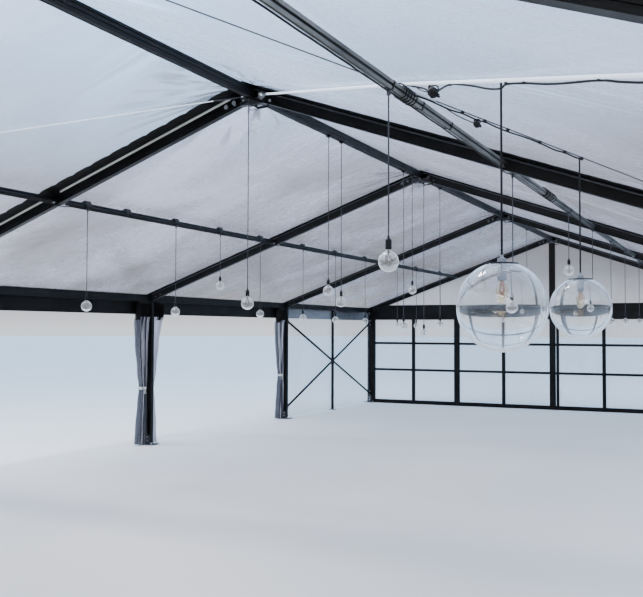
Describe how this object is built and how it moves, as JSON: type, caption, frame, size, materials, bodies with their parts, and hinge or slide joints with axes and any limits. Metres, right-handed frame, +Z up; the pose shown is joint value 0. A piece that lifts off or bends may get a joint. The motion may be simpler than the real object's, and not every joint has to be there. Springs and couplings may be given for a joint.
{
  "type": "marquee tent",
  "caption": "Clear-span marquee: black portal frames under clear roof sheets, gathered clear side curtains, gable window walls, hanging bulbs and glass globes.",
  "frame": {"origin": "on the ground at the centre of the footprint", "axes": "+X across the tent to the right-hand wall, +Y along the ridge to the rear gable, +Z up"},
  "size_m": [10.3, 25.2, 4.405],
  "materials": {
    "frame": "black satin coating on aluminium extrusions",
    "clear_sheet": "clear plasticised sheet, slightly hazy and wrinkled, black hems beside the frames",
    "valance": "black coated fabric, semi-matt",
    "curtain": "clear sheet gathered into folds under a black header",
    "wire": "galvanised wire rope",
    "lamp_string": "black cable and holders with clear glass bulbs",
    "globe": "clear thin glass"
  },
  "bodies": {
    "root": {"leg_left_1": "frame", "leg_left_2": "frame", "leg_left_3": "frame", "leg_left_4": "frame", "leg_left_5": "frame", "leg_left_6": "frame", "leg_right_1": "frame", "leg_right_2": "frame", "leg_right_3": "frame", "leg_right_4": "frame", "leg_right_5": "frame", "leg_right_6": "frame", "rafter_pair_1": "frame", "rafter_pair_2": "frame", "rafter_pair_3": "frame", "rafter_pair_4": "frame", "rafter_pair_5": "frame", "rafter_pair_6": "frame", "ridge_purlin": "frame", "side_purlin_left": "frame", "side_purlin_right": "frame", "eave_purlin_left": "frame", "eave_purlin_right": "frame", "roof_sheet_1": "clear_sheet", "roof_sheet_2": "clear_sheet", "roof_sheet_3": "clear_sheet", "roof_sheet_4": "clear_sheet", "roof_sheet_5": "clear_sheet", "valance_left": "valance", "valance_right": "valance", "gable_frame_front": "frame", "gable_frame_rear": "frame", "gable_sheet_front": "clear_sheet", "gable_sheet_rear": "clear_sheet", "wall_sheet_left_front": "clear_sheet", "wall_sheet_left_rear": "clear_sheet", "wall_sheet_right_front": "clear_sheet", "wall_sheet_right_rear": "clear_sheet", "wall_brace_left_front": "frame", "wall_brace_left_rear": "frame", "wall_brace_right_front": "frame", "wall_brace_right_rear": "frame", "curtain_left_2": "curtain", "curtain_left_3": "curtain", "curtain_left_4": "curtain", "curtain_left_5": "curtain", "curtain_right_2": "curtain", "curtain_right_3": "curtain", "curtain_right_4": "curtain", "curtain_right_5": "curtain", "roof_brace_left": "wire", "roof_brace_right": "wire", "lamp_string_ridge": "lamp_string", "lamp_string_left": "lamp_string", "lamp_string_right": "lamp_string", "globe_lamp_1": "globe", "globe_lamp_2": "globe"}
  },
  "joints": []
}
